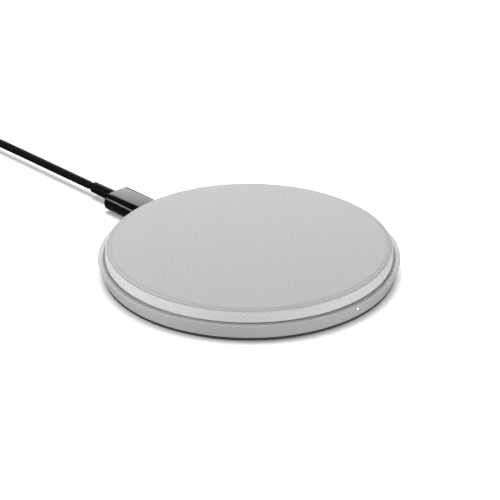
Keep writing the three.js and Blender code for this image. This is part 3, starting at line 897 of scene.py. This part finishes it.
@dataclass
class Rim:
    """The metal rim: leaning wall, cut edges with a painted highlight, a port at the rear and a light hole in
    front.
    """

    low_cut: float = 0.26 * MM
    top_cut: float = 0.5 * MM
    drop: float = 0.22 * MM  # the wall's lower edge is this far below the case's own
    lean: float = 1.5 * MM
    top_inner: float = 48.4 * MM
    inner_break: float = 0.06 * MM
    ledge_depth: float = 1.15 * MM
    break_edge: float = 0.04 * MM
    wall_gap: float = 0.3 * MM  # between this wall and the base's
    port: tuple[float, float, float] = (9.7 * MM, 3.85 * MM, 1.9 * MM)
    light_hole: float = 0.42 * MM
    cut_slack: float = 3 * MM
    chamfer_tilt: float = 0.35  # a chamfer's faces point at least this far up or down

    def build(self) -> Piece:
        """Makes the rim, cuts its two openings and polishes its edges."""
        box = Extent.of("outer_ring")
        bottom, top, radius = box.low.z - self.drop, box.high.z, box.radius
        foot, inner, soft = radius - self.lean, Base().wall_radius + self.wall_gap, self.break_edge
        outline = rounded([
            (inner, bottom, soft),
            (foot - self.low_cut, bottom, soft),
            (foot, bottom + self.low_cut, soft),
            (radius, top - self.top_cut / 2, soft),
            (radius - self.top_cut, top, soft),
            (self.top_inner, top, self.inner_break),
            (self.top_inner, top - self.ledge_depth, 0.0),
            (inner, top - self.ledge_depth, 0.0),
        ], steps=3)
        rim = revolve("rim", outline)
        cut(rim, [self.port_cutter(radius), self.light_cutter(radius)])
        self.polish(rim, radius, top, bottom)
        return settle(rim, Body.PAD, Slot.RIM, ["outer_ring"])

    def port_cutter(self, radius: float) -> Piece:
        """A bar of the port's section through the rim's rear."""
        width, thickness, corner = self.port
        centre = Vector((0, radius - self.cut_slack / 2, Extent.of("socket_shell").middle.z))
        size = (width, 3 * self.cut_slack, thickness)
        return Bar.around(centre, size, corner, CUTTER_EDGE).solid("port_cutter")

    def light_cutter(self, radius: float) -> Piece:
        """A rod through the rim's front."""
        reach = self.cut_slack
        cutter = rod("light_cutter", self.light_hole, 0, 3 * reach)
        return along_y(cutter, Vector((0, -radius - reach, Extent.of("light_guide").middle.z)))

    def polish(self, rim: Piece, radius: float, top: float, bottom: float) -> None:
        """Gives the two outer chamfers the smoother cut-edge finish, lighter in colour as a painted highlight.

        Args:
            rim: The rim.
            radius: Its largest radius.
            top: The height of its top face.
            bottom: The height of its bottom face.
        """
        rim.data.materials.clear()
        rim.data.materials.append(FINISHES[Slot.RIM].material())
        rim.data.materials.append(CUT_EDGE_HIGHLIGHT.material())
        for face in rim.data.polygons:
            centre, outward = face.center, face.normal
            spread = math.hypot(centre.x, centre.y)
            upper = top - self.top_cut / 2 < centre.z < top and spread > radius - self.top_cut
            lower = bottom < centre.z < bottom + self.low_cut and spread > radius - self.lean - self.low_cut
            face.material_index = int((upper or lower) and abs(outward.z) > self.chamfer_tilt)


@dataclass
class Base:
    """What the pad stands on: the black base shell, the seal under the cloth and the rubber foot."""

    wall_radius: float = 46.8 * MM
    # the skirt reaches under the rim's foot almost to the floor; its black band is partly the base, partly
    # painted shade for the contact shadow
    skirt: float = 48.2 * MM
    skirt_bottom: float = 0.08 * MM
    skirt_inner: float = 45.6 * MM
    skirt_top: float = 0.9 * MM
    underside: float = 0.5 * MM
    floor: float = 2.0 * MM
    wall: float = 1.2 * MM
    groove_depth: float = 0.6 * MM
    groove_slack: float = 0.1 * MM
    screw_radius: float = 40 * MM
    counterbore: float = 2.2 * MM
    boss: float = 3.2 * MM
    boss_top: float = 3.4 * MM
    boss_root: float = 0.4 * MM  # how far the bosses reach into the floor
    counterbore_top: float = 2.4 * MM
    bay: Size = (10.2 * MM, 8 * MM, 5 * MM)  # the opening that the socket stands in
    bay_place: Size = (0, 44 * MM, 4.1 * MM)
    notch: Size = (1.8 * MM, 4 * MM, 3 * MM)  # the opening for the light guide
    notch_place: Size = (0, -46 * MM, 5.1 * MM)
    foot_width: float = 5.8 * MM
    foot_groove: float = 1.1 * MM  # from the foot's middle to each of its grooves
    foot_groove_depth: float = 0.15 * MM
    seal_inner: float = 45.9 * MM
    seal_gap: float = 0.02 * MM
    seal_drop: float = 0.27 * MM  # the seal's top is this far below the cloth's hem

    def build(self) -> list[Piece]:
        """Makes the three pieces."""
        return [self.shell(), self.foot(), self.seal()]

    def shell(self) -> Piece:
        """The base shell, with bosses and counterbores for its screws."""
        box, foot = Extent.of("base_shell"), Extent.of("foot_ring")
        inner = foot.radius - self.foot_width - self.groove_slack
        outer = foot.radius + self.groove_slack
        under, groove, skirt = self.underside, self.underside + self.groove_depth, self.skirt_bottom
        wall, floor, soft = self.wall_radius, self.floor, 0.08 * MM
        outline = rounded([
            (0, under, 0), (inner, under, soft), (inner, groove, 0), (outer, groove, 0), (outer, under, soft),
            (self.skirt_inner, under, soft), (self.skirt_inner + soft, skirt, soft),
            (self.skirt, skirt, soft), (self.skirt, self.skirt_top, soft), (wall, self.skirt_top, 0),
            (wall, box.high.z, soft), (wall - self.wall, box.high.z, soft),
            (wall - self.wall, floor, 0.3 * MM), (0, floor, 0),
        ], closed=False)
        shell = revolve("base", outline, closed=False)
        places = self.screw_places()
        cut(shell, [self.post("boss", place, self.boss, floor - self.boss_root, self.boss_top)
                    for place in places], "UNION")
        counterbores = [self.post("counterbore", place, self.counterbore, -MM, self.counterbore_top)
                        for place in places]
        bay = Bar.around(Vector(self.bay_place), self.bay, MM, CUTTER_EDGE)
        notch = Bar.around(Vector(self.notch_place), self.notch, 0.3 * MM, CUTTER_EDGE)
        cut(shell, [*counterbores, bay.solid("socket_bay"), notch.solid("light_notch")])
        return settle(shell, Body.PAD, Slot.BASE, ["base_shell"])

    def screw_places(self) -> Places:
        """Where the four case screws are."""
        angles = [math.radians(45 + 90 * i) for i in range(4)]
        return [Vector((math.cos(a), math.sin(a), 0)) * self.screw_radius for a in angles]

    def post(self, name: str, place: Vector, radius: float, bottom: float, top: float) -> Piece:
        """An upright post at a place."""
        post = rod(name, radius, bottom, top)
        post.data.transform(Matrix.Translation(place))
        return post

    def foot(self) -> Piece:
        """The rubber ring, with two fine grooves in its face."""
        box = Extent.of("foot_ring")
        inner, outer, soft = box.radius - self.foot_width, box.radius, 0.2 * MM
        middle, dip = box.radius - self.foot_width / 2, self.foot_groove_depth
        grooves = []
        for centre in (middle - self.foot_groove, middle + self.foot_groove):
            grooves += [(centre - dip, 0, 0.03 * MM), (centre, dip, 0.05 * MM), (centre + dip, 0, 0.03 * MM)]
        outline = rounded([
            (inner, box.high.z, 0), (inner, 0, soft), *grooves, (outer, 0, soft), (outer, box.high.z, 0),
        ], steps=3)
        return settle(revolve("foot", outline), Body.PAD, Slot.FOOT, ["foot_ring"])

    def seal(self) -> Piece:
        """The ring in the gap between cloth and rim, set lower than both."""
        box = Extent.of("seal_ring")
        inner, outer = self.seal_inner, Rim().top_inner - self.seal_gap
        top, soft = WovenTop().hem - self.seal_drop, 0.12 * MM
        outline = rounded([
            (inner, box.low.z, soft), (outer, box.low.z, soft), (outer, top, soft), (inner, top, soft),
        ], steps=3)
        return settle(revolve("seal", outline), Body.PAD, Slot.SEAL, ["seal_ring"])


@dataclass
class Openings:
    """What sits in the rim's two openings: the socket and the end of the light guide."""

    sheet: float = 0.3 * MM
    contact: float = 0.25 * MM
    contact_thickness: float = 0.1 * MM
    contact_edge: float = 0.02 * MM
    contact_pitch: float = 0.5 * MM
    contact_count: int = 12
    lens_rise: float = 0.12 * MM

    def build(self) -> list[Piece]:
        """Makes the socket's shell, its tongue with contacts, and the light guide."""
        shell = Bar.like("socket_shell", 1.6 * MM, 0, 0).tube("socket", self.sheet)
        settle(shell, Body.PAD, Slot.STEEL, ["socket_shell"])
        return [shell, *self.tongue(), self.light()]

    def tongue(self) -> list[Piece]:
        """The tongue on its root, and the row of contacts on each side of it."""
        box = Extent.of("socket_tongue")
        start = box.low.y
        root = Bar(box.size.x, box.size.z, 0.9 * MM, start, start + 1.9 * MM, 0.1 * MM, 0.1 * MM, box.middle)
        blade = Bar(6.6 * MM, 0.7 * MM, 0.3 * MM, start + MM, box.high.y, 0.05 * MM, 0.25 * MM, box.middle)
        tongue = root.solid("socket_tongue_moulding")
        cut(tongue, [blade.solid("blade")], "UNION")
        settle(tongue, Body.PAD, Slot.COMPONENT, ["socket_tongue"])
        rows = contact_rows("socket_contacts", box.middle, blade.front + 1.2 * MM, blade.rear - 0.5 * MM,
                            blade.thickness / 2, self)
        return [tongue, settle(rows, Body.PAD, Slot.STEEL)]

    def light(self) -> Piece:
        """The clear rod with a slightly domed end."""
        box = Extent.of("light_guide")
        radius, length = 0.5 * MM, box.size.y
        dome = [Vector((radius * math.sin(a), self.lens_rise * (1 - math.cos(a))))
                for a in (math.pi / 2 * k / 6 for k in range(7))]
        outline = [*dome, Vector((radius, length)), Vector((0, length))]
        guide = revolve("light_rod", outline, closed=False, segments=SMALL_ROUND)
        along_y(guide, Vector((0, box.low.y, box.middle.z)))
        return settle(guide, Body.PAD, Slot.LIGHT, ["light_guide"])


def contact_rows(name: str, centre: Vector, front: float, rear: float, offset: float,
                 sizes: Openings) -> Piece:
    """Makes a row of flat contacts above and one below a plane.

    Args:
        name: The piece's name.
        centre: The middle of both rows.
        front: Where they start along Y.
        rear: Where they end.
        offset: How far each row's middle is from the plane.
        sizes: The contacts' sizes and number.

    Returns:
        Both rows as one piece.
    """
    bars = []
    for side in (-1, 1):
        for k in range(sizes.contact_count):
            x = centre.x + (k - (sizes.contact_count - 1) / 2) * sizes.contact_pitch
            place = Vector((x, (front + rear) / 2, centre.z + side * offset))
            size = (sizes.contact, rear - front, sizes.contact_thickness)
            bars.append(Bar.around(place, size, sizes.contact_edge, sizes.contact_edge, 2))
    return as_one(name, bars)


# ---------------------------------------------------------------- the cable
def through(route: Places, step: float) -> Places:
    """Runs a centripetal curve through points and places points along it.

    Args:
        route: The points that it passes through.
        step: The largest distance between the points that are returned.

    Returns:
        Points along the curve.
    """
    ends = [2 * route[0] - route[1], *route, 2 * route[-1] - route[-2]]
    line = []
    for p0, p1, p2, p3 in zip(ends, ends[1:], ends[2:], ends[3:]):
        t1 = (p1 - p0).length ** 0.5
        t2 = t1 + (p2 - p1).length ** 0.5
        t3 = t2 + (p3 - p2).length ** 0.5
        count = max(1, math.ceil((p2 - p1).length / step))
        for k in range(count):
            t = t1 + (t2 - t1) * k / count
            a = p0.lerp(p1, t / t1)
            b = p1.lerp(p2, (t - t1) / (t2 - t1))
            c = p2.lerp(p3, (t - t2) / (t3 - t2))
            line.append(a.lerp(b, t / t2).lerp(b.lerp(c, (t - t1) / (t3 - t1)), (t - t1) / (t2 - t1)))
    return [*line, route[-1]]


def tube(name: str, line: Places, radius: float, sides: int = 20) -> Piece:
    """Sweeps a circle along a line without twisting it.

    Args:
        name: The piece's name.
        line: The centres of its rings.
        radius: The tube's radius.
        sides: Points in each ring.

    Returns:
        The tube, with rounded ends.
    """
    loops = []
    normal = Vector((0, 0, 1))
    last = len(line) - 1
    for i, centre in enumerate(line):
        heading = (line[min(i + 1, last)] - line[max(i - 1, 0)]).normalized()
        normal = (normal - heading * normal.dot(heading)).normalized()
        side = heading.cross(normal)
        size = radius * (0.8 if i in (0, last) else 1.0)
        loops.append([centre + (normal * math.cos(a) + side * math.sin(a)) * size
                      for a in (2 * math.pi * k / sides for k in range(sides))])
    return loft(name, loops)


@dataclass
class Cord:
    """The cord: a straight stretch from the plug, the spare length in a tied coil, and a tail."""

    diameter: float = 2.9 * MM
    length: float = 1.18
    lift: float = 0.8 * MM  # the tie passes under the coil
    layers: int = 4
    turns_per_layer: float = 2.375
    pitch: float = 2.95 * MM
    middle_radius: float = 17.4 * MM
    coil_y: float = 182 * MM
    climb: float = math.radians(60)  # how far round a turn the cord takes to climb a layer
    points_per_turn: int = 36

    @property
    def start_radius(self) -> float:
        """The centreline's radius in the outermost turn."""
        return self.middle_radius + self.turns_per_layer * self.pitch / 2

    def lead(self) -> Places:
        """The route from the plug to the coil."""
        heights = [
            (80.2, 3.55), (90, 3.55), (100, 3.55), (112, 3.55), (124, 3.53), (134, 3.45),
            (142, 3.15), (150, 2.6), (157, 2.1), (163.5, 1.85), (170, 1.85), (176, 2.05),
        ]
        return [Vector((0, y * MM, z * MM)) for y, z in heights]

    def tail(self) -> Places:
        """The route from the coil to the far plug."""
        heights = [(176, 11), (170, 11), (165, 10.2), (159, 7.9), (153, 5.3), (148.6, 4.15), (146.3, 3.95)]
        return [Vector((-2 * self.start_radius, y * MM, z * MM)) for y, z in heights]

    def coil(self) -> Places:
        """The coiled turns: in and out in flat layers, one diameter above each other."""
        total = self.layers * self.turns_per_layer
        count = round(total * self.points_per_turn)
        sweep = self.turns_per_layer * self.pitch
        line = []
        for i in range(count + 1):
            turns = total * i / count
            layer = min(int(turns / self.turns_per_layer), self.layers - 1)
            part = turns / self.turns_per_layer - layer
            radius = self.start_radius - sweep * (part if layer % 2 == 0 else 1 - part)
            angle = 2 * math.pi * turns
            height = self.lift + self.diameter * (0.5 + self.risen(turns))
            spoke = Vector((math.cos(angle) * radius, math.sin(angle) * radius, height))
            line.append(Vector((-self.start_radius, self.coil_y, 0)) + spoke)
        return line

    def risen(self, turns: float) -> float:
        """How many diameters the cord has climbed after some turns."""
        share = self.climb / (2 * math.pi)
        total = 0.0
        for change in range(1, self.layers):
            t = (turns - change * self.turns_per_layer) / share + 0.5
            t = min(max(t, 0.0), 1.0)
            total += t * t * (3 - 2 * t)
        return total

    def build(self, pieces: Sequence[Piece]) -> Piece:
        """Args:
            pieces: What is on the cord: its plugs, sleeves and tie. Not used.

        Returns:
            The cord.
        """
        coil = self.coil()
        step = self.diameter * 0.8
        line = through([*self.lead(), coil[0]], step)[:-1] + coil
        line += through([coil[-1], *self.tail()], step)[1:]
        cord = tube("cord", line, self.diameter / 2)
        settle(cord, Body.CABLE, Slot.JACKET, ["cord_lead", "cord_coil", "cord_tail"])
        sleeve = Extent.of("plug_strain_relief")
        return cord


@dataclass
class CoilTie:
    """The hook-and-loop strap round the coil's section, with its loose end folded on."""

    thickness: float = 0.5 * MM
    end_length: float = 7 * MM

    def build(self) -> Piece:
        """Makes the strap as a flat band swept round a rounded rectangle."""
        box = Extent.of("coil_tie")
        half = self.thickness / 2
        y0, y1, z0, z1 = box.low.y + half, box.high.y - half, box.low.z + half, box.high.z - half
        bend = 0.8 * MM
        path = rounded([(y0, z0, bend), (y1, z0, bend), (y1, z1, bend), (y0, z1, bend)])
        strap = self.band("coil_tie_strap", path, box, closed=True)
        over = z1 + self.thickness * 0.9
        end = [Vector((y1 - bend - self.end_length * k / 8, over)) for k in range(9)]
        loose = self.band("loose_end", end, box, closed=False)
        cut(strap, [loose], "UNION")
        return settle(strap, Body.CABLE, Slot.STRAP, ["coil_tie"])

    def band(self, name: str, path: Places, box: Extent, closed: bool) -> Piece:
        """Sweeps the strap's flat section along a path in Y and Z."""
        x, half = box.size.x / 2, self.thickness / 2
        soft = half * 0.6
        section = rounded_box(x, half, soft, 2)
        loops = []
        last = len(path) - 1
        for i, place in enumerate(path):
            before = path[i - 1] if closed or i else path[0]
            after = path[(i + 1) % len(path)] if closed or i < last else path[last]
            heading = (after - before).normalized()
            out = Vector((heading.y, -heading.x))
            loops.append([Vector((box.middle.x + u, place.x + out.x * v, place.y + out.y * v))
                          for u, v in section])
        return loft(name, loops, closed)


@dataclass
class SmallPlug:
    """The small plug behind the pad: glossy moulding, metal tongue and round sleeve."""

    corner: float = 3.2 * MM
    front_edge: float = 0.35 * MM
    rear_edge: float = 0.45 * MM
    sheet: float = 0.3 * MM
    sleeve_shoulder: float = 0.7 * MM

    def build(self) -> list[Piece]:
        """Makes the moulding, the metal tongue with its insert, and the sleeve."""
        body = Bar.like("plug_body", self.corner, self.front_edge, self.rear_edge).solid("plug_moulding")
        settle(body, Body.CABLE, Slot.PLUG, ["plug_body"])
        shell = Bar.like("plug_shell", 1.15 * MM, 0, 0).tube("plug_tongue", self.sheet)
        settle(shell, Body.CABLE, Slot.STEEL, ["plug_shell"])
        insert = Bar.like("plug_insert", 0.5 * MM, 0.1 * MM, 0.05 * MM).solid("plug_core")
        settle(insert, Body.CABLE, Slot.COMPONENT, ["plug_insert"])
        box = Extent.of("plug_shell")
        rows = contact_rows("plug_contacts", box.middle, box.low.y + 0.8 * MM, box.high.y - 2 * MM,
                            box.size.z / 2 - 0.42 * MM, Openings())
        settle(rows, Body.CABLE, Slot.STEEL)
        return [body, shell, insert, rows, sleeve("plug_sleeve", "plug_strain_relief", self.sleeve_shoulder)]


def sleeve(name: str, node: str, shoulder: float) -> Piece:
    """Makes a round, slightly tapered sleeve with a rounded far shoulder.

    Args:
        name: The piece's name.
        node: The CAD node that it replaces.
        shoulder: The radius of its far edge.

    Returns:
        The sleeve.
    """
    box = Extent.of(node)
    wide, length, sunk = box.radius, box.size.y, 0.4 * MM
    outline = rounded([
        (0, -sunk, 0), (wide, -sunk, 0.05 * MM), (wide - 0.15 * MM, length, shoulder), (0, length, 0),
    ], closed=False)
    made = revolve(name, outline, closed=False, segments=2 * SMALL_ROUND)
    along_y(made, Vector((box.middle.x, box.low.y, box.middle.z)))
    return settle(made, Body.CABLE, Slot.JACKET, [node])


@dataclass
class LargePlug:
    """The flat plug at the far end: moulding, slotted metal shell, insert and contacts."""

    corner: float = 2.2 * MM
    edge: float = 0.6 * MM
    sheet: float = 0.3 * MM
    window: Size = (2.4 * MM, 2.2 * MM, 6 * MM)
    window_offset: float = 2.9 * MM
    window_setback: float = 6.7 * MM
    grip: Size = (8 * MM, 0.6 * MM, 0.5 * MM)
    grip_setback: float = 4 * MM
    grip_count: int = 5
    grip_pitch: float = 1.3 * MM
    contact: Size = (1.1 * MM, 0.2 * MM, 0.05 * MM)  # width, thickness and edge
    contact_places: tuple[tuple[float, float], ...] = (  # offset and length of each
        (-3.5 * MM, 8 * MM), (-MM, 7 * MM), (MM, 7 * MM), (3.5 * MM, 8 * MM),
    )

    def build(self) -> list[Piece]:
        """Makes the plug's pieces."""
        body = Bar.like("usb_a_body", self.corner, self.edge, self.edge).solid("far_plug_moulding")
        cut(body, self.grips())
        settle(body, Body.CABLE, Slot.PLUG, ["usb_a_body"])
        shell = Bar.like("usb_a_shell", 0.4 * MM, 0, 0).tube("far_plug_shell", self.sheet)
        cut(shell, self.windows())
        settle(shell, Body.CABLE, Slot.STEEL, ["usb_a_shell"])
        insert = Bar.like("usb_a_insert", 0.15 * MM, 0.1 * MM, 0.1 * MM).solid("far_plug_core")
        settle(insert, Body.CABLE, Slot.COMPONENT, ["usb_a_insert"])
        return [body, shell, insert, self.contacts(), sleeve("far_plug_sleeve", "usb_a_strain_relief", MM)]

    def grips(self) -> list[Piece]:
        """Cutters for the shallow finger grooves on the moulding's two flat faces."""
        box = Extent.of("usb_a_body")
        tools = []
        for side in (-1, 1):
            for k in range(self.grip_count):
                y = box.high.y - self.grip_setback - self.grip_pitch * k
                centre = Vector((box.middle.x, y, box.middle.z + side * box.size.z / 2))
                tools.append(Bar.around(centre, self.grip, 0.2 * MM, CUTTER_EDGE, 3).solid("grip"))
        return tools

    def windows(self) -> list[Piece]:
        """Cutters for the two latch windows through each face of the shell."""
        box = Extent.of("usb_a_shell")
        tools = []
        for side in (-1, 1):
            x = box.middle.x + side * self.window_offset
            centre = Vector((x, box.high.y - self.window_setback, box.middle.z))
            tools.append(Bar.around(centre, self.window, 0.2 * MM, 0.05 * MM, 3).solid("window"))
        return tools

    def contacts(self) -> Piece:
        """The four contacts on the insert's underside, as one piece."""
        box = Extent.of("usb_a_insert")
        width, thickness, edge = self.contact
        bars = []
        for x, length in self.contact_places:
            centre = Vector((box.middle.x + x, box.high.y - MM - length / 2, box.low.z))
            bars.append(Bar.around(centre, (width, length, thickness), edge, edge, 2))
        return settle(as_one("far_plug_contacts", bars), Body.CABLE, Slot.STEEL)


# ---------------------------------------------------------------- carried-over pieces
@dataclass
class Electronics:
    """Everything inside the case, which keeps its CAD shape and gets its finish."""

    def dress(self) -> int:
        """Gives each shown CAD node the finish of its slot.

        Returns:
            How many nodes were dressed.
        """
        slots = {part["node"]: Slot(part["material_slot"]) for part in frame["record"]["subparts"]}
        shown = [node for node in frame["nodes"].values() if not node.hide_render]
        for node in shown:
            node.data.materials.clear()
            node.data.materials.append(FINISHES[slots[node.name]].material())
        return len(shown)


# ---------------------------------------------------------------- the studio
def direction(azimuth: float, elevation: float) -> Vector:
    """The direction from the pad to a point in the studio, from angles in degrees."""
    a, e = math.radians(azimuth), math.radians(elevation)
    return Vector((math.sin(a) * math.cos(e), -math.cos(a) * math.cos(e), math.sin(e)))


@dataclass(frozen=True)
class Softbox:
    """A flat soft light that faces the pad."""

    name: str
    azimuth: float
    elevation: float
    distance: float
    width: float
    height: float
    radiance: float
    spares_floor: bool = False
    in_gloss: bool = True  # whether shiny surfaces mirror it

    def build(self) -> Piece:
        """Makes the light, hidden from the camera."""
        data = bpy.data.lights.new(self.name, "AREA")
        data.shape = "RECTANGLE"
        data.size = self.width
        data.size_y = self.height
        data.energy = self.radiance * math.pi * self.width * self.height
        light = bpy.data.objects.new(self.name, data)
        towards = direction(self.azimuth, self.elevation)
        light.location = towards * self.distance
        light.rotation_mode = "QUATERNION"
        light.rotation_quaternion = towards.to_track_quat("Z", "Y")
        light.visible_camera = False
        light.visible_glossy = self.in_gloss
        bpy.context.scene.collection.objects.link(light)
        return light


@dataclass
class Studio:
    """The camera, the white floor and the lights."""

    azimuth: float = -44.0
    elevation: float = 27.25
    distance: float = 0.7
    lens: float = 151.6
    aim_rise: float = 5.5 * MM  # the camera looks this far above the rim's foot
    aim_side: float = 0.27 * MM
    floor_radius: float = 4.0
    surround: float = 0.15
    lights: tuple[Softbox, ...] = (
        Softbox("back", 136, 25, 0.40, 0.42, 0.2, 4.9, spares_floor=True),
        Softbox("back_high", 136, 62, 0.45, 0.32, 0.3, 0.4, spares_floor=True, in_gloss=False),
        Softbox("left", 224, 12, 0.6, 0.3, 0.27, 7.0, in_gloss=False),
        Softbox("left_strip", 226, 22.5, 0.6, 0.3, 0.13, 11.0),
        Softbox("right", 46, 12, 0.6, 0.5, 0.2, 8.6),
        Softbox("front", -44, 9, 0.7, 0.9, 0.28, 5.6, spares_floor=True),
    )
    floor_light: Softbox = Softbox("floor_light", 136, 82, 1.0, 0.7, 0.7, 7.0)

    def camera(self) -> Piece:
        """Places the camera and makes it the scene's."""
        data = bpy.data.cameras.new("camera")
        data.lens = self.lens
        data.sensor_width = 36.0
        data.clip_start = 0.01
        camera = bpy.data.objects.new("camera", data)
        bpy.context.scene.collection.objects.link(camera)
        back = direction(self.azimuth, self.elevation)
        foot = Vector((0, 0, Extent.of("outer_ring").low.z))
        right = Vector((0, 0, 1)).cross(back).normalized()
        aim = foot + back.cross(right) * self.aim_rise + right * self.aim_side
        camera.location = foot + back * self.distance
        camera.rotation_mode = "QUATERNION"
        camera.rotation_quaternion = (aim - camera.location).to_track_quat("-Z", "Y")
        bpy.context.scene.camera = camera
        return camera

    def floor(self) -> Piece:
        """A wide white disc under the pad, which isn't part of the object."""
        spokes = [Vector((self.floor_radius * k / 8, 0)) for k in range(9)]
        floor = revolve("studio_floor", spokes, closed=False, segments=2 * SMALL_ROUND)
        floor.data.materials.append(Sweep().material())
        floor.visible_diffuse = False  # or the rim would darken towards its foot
        floor.visible_glossy = False
        floor.visible_shadow = False  # so that the underside is lit when looked at from below
        return floor

    def light(self, floor: Piece) -> None:
        """Adds the softboxes, the floor's own light and the even surround."""
        lit, spared = (bpy.data.collections.new(name) for name in ("lit_floor", "spared_floor"))
        for group in (lit, spared):
            group.objects.link(floor)
        spared.collection_objects[0].light_linking.link_state = "EXCLUDE"
        for box in self.lights:
            light = box.build()
            if box.spares_floor:
                light.light_linking.receiver_collection = spared
        self.floor_light.build().light_linking.receiver_collection = lit
        world = bpy.data.worlds.new("surround")
        world.use_nodes = True
        background = world.node_tree.nodes["Background"]
        background.inputs["Color"].default_value = (1, 1, 1, 1)
        background.inputs["Strength"].default_value = self.surround
        bpy.context.scene.world = world
        bpy.context.scene.view_settings.view_transform = "Standard"


def main() -> None:
    """Builds the scene: camera and cable first, then the pad, its inside and the studio."""
    logging.basicConfig(level=logging.INFO, format="%(message)s")
    studio = Studio()
    studio.camera()
    on_cord = [*SmallPlug().build(), *LargePlug().build(), CoilTie().build()]
    Cord().build(on_cord)
    WovenTop().build()
    Rim().build()
    Base().build()
    Openings().build()
    LOG.info("%d CAD nodes dressed", Electronics().dress())
    studio.light(studio.floor())


if __name__ == "__main__":
    main()
